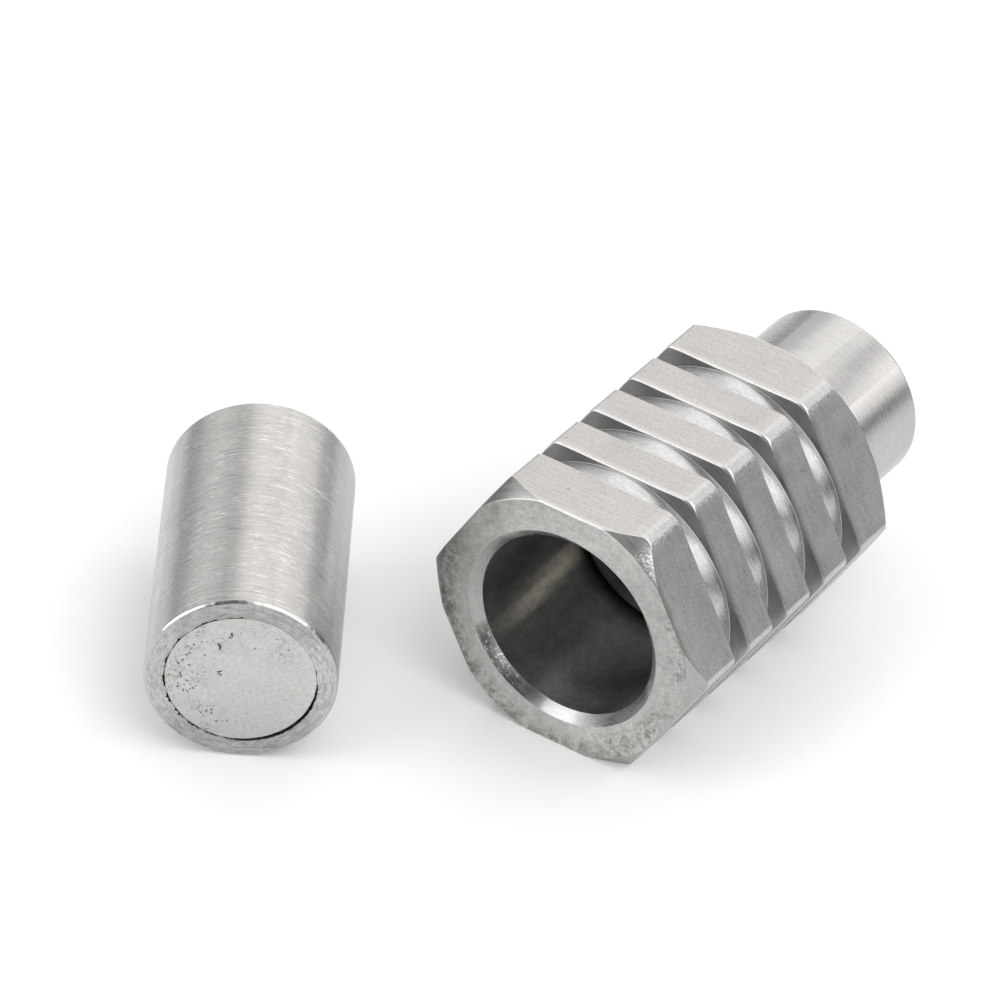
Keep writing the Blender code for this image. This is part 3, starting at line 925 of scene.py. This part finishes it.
# ---------------------------------------------------------------- pieces
socket_body = sweep(
    "socket_body_finished", column_angles(42, 10), socket_section,
    [flat_steel, ridge_steel, edge_steel, groove_steel, wall_steel, chamfer_steel, front_steel,
     mouth_steel, bore_steel, ledge_steel, stem_steel, hole_steel, seat_steel],
    {"hex": flat_steel, "ridge": ridge_steel, "edge": edge_steel, "groove": groove_steel,
     "wall_front": wall_steel, "wall_back": wall_steel, "back": wall_steel,
     "chamfer": chamfer_steel, "front": front_steel, "mouth": mouth_steel, "bore": bore_steel,
     "ledge": ledge_steel, "stem": stem_steel, "stem_end": wall_steel, "hole": hole_steel,
     "seat": seat_steel},
    SOCKET_PLACE)
plug_columns = [(2 * pi * i / 360, "round") for i in range(360)]
plug_body = sweep(
    "plug_body_finished", plug_columns, plug_section,
    [plug_side_steel, plug_face_steel, plug_rim_steel, plug_tail_steel, plug_hole_steel, plug_seat_steel],
    {"side": plug_side_steel, "face": plug_face_steel, "rim": plug_rim_steel, "edge": plug_rim_steel,
     "tail": plug_tail_steel, "hole": plug_hole_steel, "seat": plug_seat_steel},
    PLUG_PLACE)
plug_magnet = magnet_mesh("plug_magnet_finished", magnet_edge, MAGNET_LEN, 0.0, [nickel, pit_nickel],
                          PLUG_PLACE, PITS, 440, 110, 0.0015)
socket_magnet = magnet_mesh("socket_magnet_finished", lambda a: SEAT_R - 0.004, MAGNET_LEN, BORE_DEPTH,
                            [shaded_bore_nickel], SOCKET_PLACE, [], 96, 12, 0.0, ease=0.0003)

for piece, body, node, slot in (
        (socket_body, "socket", "socket_body", "socket_steel"),
        (socket_magnet, "socket", "socket_magnet", "socket_nickel"),
        (plug_body, "plug", "plug_body", "plug_steel"),
        (plug_magnet, "plug", "plug_magnet", "plug_nickel")):
    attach(piece, body)
    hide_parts(node)

# ---------------------------------------------------------------- table
def make_table():
    bm = bmesh.new()
    radii = [0.0, 0.03, 0.06, 0.10, 0.16, 0.24, 0.34]
    steps = 96
    centre = bm.verts.new((0, 0, 0))
    rows = [[bm.verts.new((r * cos(2 * pi * i / steps), r * sin(2 * pi * i / steps), 0))
             for i in range(steps)] for r in radii[1:]]
    for i in range(steps):
        j = (i + 1) % steps
        bm.faces.new((centre, rows[0][i], rows[0][j]))
        for a, b in zip(rows, rows[1:]):
            bm.faces.new((a[i], b[i], b[j], a[j]))
    bmesh.ops.recalc_face_normals(bm, faces=bm.faces)
    mesh = bpy.data.meshes.new("table")
    bm.to_mesh(mesh)
    bm.free()
    obj = bpy.data.objects.new("table", mesh)
    COLLECTION.objects.link(obj)
    obj.location = (0, 0, -2e-6)
    n = Nodes("table_paper")
    away = n.vec("LENGTH", n.mm)
    # the table's colour and glow fade away from the clasp: a painted fall-off of light
    near = n.range(away, 36.0, 90.0, 1.0, 0.40)
    n.put(n.bsdf.inputs["Base Color"], n.tint((0.90, 0.90, 0.90, 1), near))
    n.put(n.bsdf.inputs["Emission Color"], n.tint((1, 1, 1, 1), near))
    n.bsdf.inputs["Emission Strength"].default_value = 0.07  # lit a little from below, as in a light tent
    n.bsdf.inputs["Roughness"].default_value = 0.75
    n.bsdf.inputs["Specular IOR Level"].default_value = 0.2
    mesh.materials.append(n.mat)
    return obj


table = make_table()

# ---------------------------------------------------------------- light
# soft panels round the table, as the clasp sees them in degrees: middle azimuth (from +Y towards
# +X) and elevation, half width, half height, soft edges across and up, level
PANELS = [
    ("front_left_box", -143.8, 21.4, 26.0, 24.7, 10.0, 7.0, 2.31),
    ("left_panel", -63.0, 19.5, 17.0, 16.5, 8.0, 7.0, 1.20),
    ("back_panel", -16.0, 27.0, 28.0, 24.0, 9.0, 7.0, 1.37),
    ("back_right_panel", 36.0, 24.0, 17.0, 19.0, 8.0, 6.0, 1.75),
    ("right_box", 100.9, 44.9, 48.4, 25.3, 10.0, 7.0, 1.39),
    ("right_low_panel", 110.2, 21.2, 21.5, 12.2, 10.0, 7.0, 1.93),
]
DOME_LEVEL, DOME_FROM, DOME_FULL = 1.05, 32.0, 56.0
UNLIT_AZ, UNLIT_EL, UNLIT_RADIUS = 166.0, 53.0, 19.0
BACKDROP = 0.95

world = bpy.data.worlds.new("studio")
bpy.context.scene.world = world
world.use_nodes = True
g = Graph(world.node_tree)
x, y, z = g.split(world.node_tree.nodes.new("ShaderNodeTexCoord").outputs["Generated"])
azimuth = g.math("MULTIPLY", g.math("ARCTAN2", x, y), 180 / pi)
elevation = g.math("MULTIPLY", g.math("ARCSINE", z), 180 / pi)


def off_azimuth(middle):
    turn = g.tree.nodes.new("ShaderNodeMath")
    turn.operation = "WRAP"
    g.put(turn.inputs[0], g.math("SUBTRACT", azimuth, middle))
    turn.inputs[1].default_value = 180.0
    turn.inputs[2].default_value = -180.0
    return g.math("ABSOLUTE", turn.outputs[0])


level = g.range(elevation, DOME_FROM, DOME_FULL, 0.0, DOME_LEVEL)
for _, az, el, wide, high, soft_az, soft_el, power in PANELS:
    across = g.range(off_azimuth(az), wide + soft_az, wide - soft_az)
    up = g.range(g.math("ABSOLUTE", g.math("SUBTRACT", elevation, el)), high + soft_el, high - soft_el)
    level = g.math("ADD", level, g.math("MULTIPLY", g.math("MULTIPLY", across, up), power))
gap = g.math("SQRT", g.math("ADD", g.math("POWER", g.math("MULTIPLY", off_azimuth(UNLIT_AZ), 0.6), 2.0),
                            g.math("POWER", g.math("ABSOLUTE", g.math("SUBTRACT", elevation, UNLIT_EL)), 2.0)))
level = g.math("MULTIPLY", level, g.range(gap, UNLIT_RADIUS - 6, UNLIT_RADIUS + 6, 0.13, 1.0))
seen = world.node_tree.nodes.new("ShaderNodeLightPath").outputs["Is Camera Ray"]
level = g.range(seen, 0.0, 1.0, level, BACKDROP, False)
sky = world.node_tree.nodes["Background"]
sky.inputs["Color"].default_value = (1, 1, 1, 1)
g.put(sky.inputs["Strength"], level)

# ---------------------------------------------------------------- camera
view_forward = Vector((-0.42105, 0.67999, -0.60027)).normalized()
level_right = Vector((0.85021, 0.52645, 0.0)).normalized()
level_up = level_right.cross(view_forward)
roll = radians(4.277)
cam_right = cos(roll) * level_right + sin(roll) * level_up
cam_up = -sin(roll) * level_right + cos(roll) * level_up
cam = bpy.data.cameras.new("camera")
cam.lens = 302.194
cam.sensor_fit = "HORIZONTAL"
cam.sensor_width = 36.0
cam.clip_start = 0.01
cam.clip_end = 5.0
cam_obj = bpy.data.objects.new("camera", cam)
COLLECTION.objects.link(cam_obj)
cam_obj.matrix_world = Matrix((
    (cam_right.x, cam_up.x, -view_forward.x, 0.125352),
    (cam_right.y, cam_up.y, -view_forward.y, -0.202088),
    (cam_right.z, cam_up.z, -view_forward.z, 0.183902),
    (0, 0, 0, 1)))
bpy.context.scene.camera = cam_obj

bpy.context.scene.view_settings.view_transform = "Standard"
bpy.context.scene.view_settings.look = "None"
